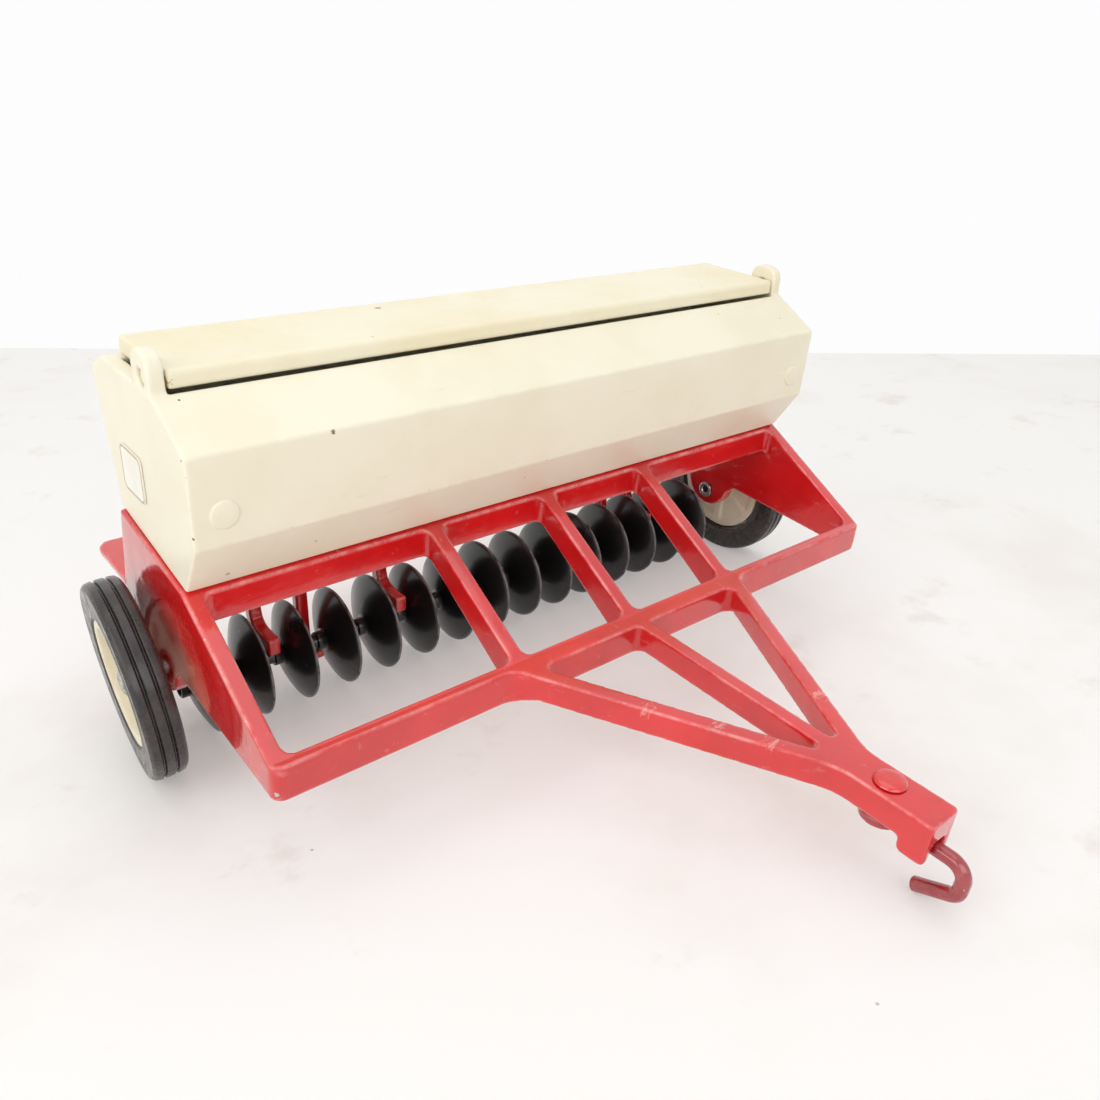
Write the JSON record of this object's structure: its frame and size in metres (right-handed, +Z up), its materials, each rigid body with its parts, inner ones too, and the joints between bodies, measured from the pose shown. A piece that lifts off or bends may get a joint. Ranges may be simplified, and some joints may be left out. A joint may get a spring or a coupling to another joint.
{
  "type": "toy grain drill",
  "caption": "Small toy grain drill: sloping ladder frame with a hook tongue, long seed hopper with hinged lid, ribbed wheels and a gang of dished discs that turns on its shaft.",
  "frame": {"origin": "centre of the footprint on the ground, below the object as it stands on its two tyres and on the tip of its hitch hook", "axes": "+X along the hopper to the right hand of someone facing the front, hitch side at -Y, +Z up"},
  "size_m": [0.2508, 0.218, 0.1163],
  "materials": {
    "red_paint": "gloss enamel, chipped at the edges",
    "cream_paint": "semi-gloss enamel",
    "tyre": "ribbed dark grey rubber",
    "black_disc": "gloss black",
    "black_shaft": "black",
    "bare_steel": "bare, slightly dull",
    "label": "plain off-white sticker"
  },
  "bodies": {
    "frame": {"frame_casting": "red_paint", "footboard": "red_paint", "hopper": "cream_paint", "hopper_plug_left": "cream_paint", "hopper_plug_right": "cream_paint", "end_label": "label", "axle_rivet_left": "bare_steel", "axle_rivet_right": "bare_steel", "hitch_rivet": "red_paint"},
    "lid": {"lid": "cream_paint"},
    "wheel_left": {"tyre_left": "tyre", "rim_left": "cream_paint"},
    "wheel_right": {"tyre_right": "tyre", "rim_right": "cream_paint"},
    "disc_gang": {"gang_shaft": "black_shaft", "disc_01": "black_disc", "disc_02": "black_disc", "disc_03": "black_disc", "disc_04": "black_disc", "disc_05": "black_disc", "disc_06": "black_disc", "disc_07": "black_disc", "disc_08": "black_disc", "disc_09": "black_disc", "disc_10": "black_disc", "disc_11": "black_disc", "disc_12": "black_disc", "disc_13": "black_disc", "disc_14": "black_disc", "disc_15": "black_disc"},
    "hook": {"hitch_hook": "red_paint"}
  },
  "joints": [
    {"name": "lid_hinge", "type": "hinge", "parent": "frame", "child": "lid", "pos_m": [0, 0.04486, 0.10978], "axis": [1, 0, 0], "range_deg": [0, 180]},
    {"name": "wheel_left_spin", "type": "hinge", "parent": "frame", "child": "wheel_left", "pos_m": [-0.1186, 0.06308, 0.02756], "axis": [0.9938, -0.078, 0.0797], "continuous": true},
    {"name": "wheel_right_spin", "type": "hinge", "parent": "frame", "child": "wheel_right", "pos_m": [0.1186, 0.06308, 0.02756], "axis": [0.9979, 0.0348, 0.0544], "continuous": true},
    {"name": "disc_gang_spin", "type": "hinge", "parent": "frame", "child": "disc_gang", "pos_m": [-0.0005, 0.06981, 0.01578], "axis": [1, 0, 0], "continuous": true},
    {"name": "hook_swing", "type": "hinge", "parent": "frame", "child": "hook", "pos_m": [0, -0.08568, 0.01573], "axis": [0, -0.1013, 0.9949], "range_deg": [-2.5, 2.5]}
  ]
}
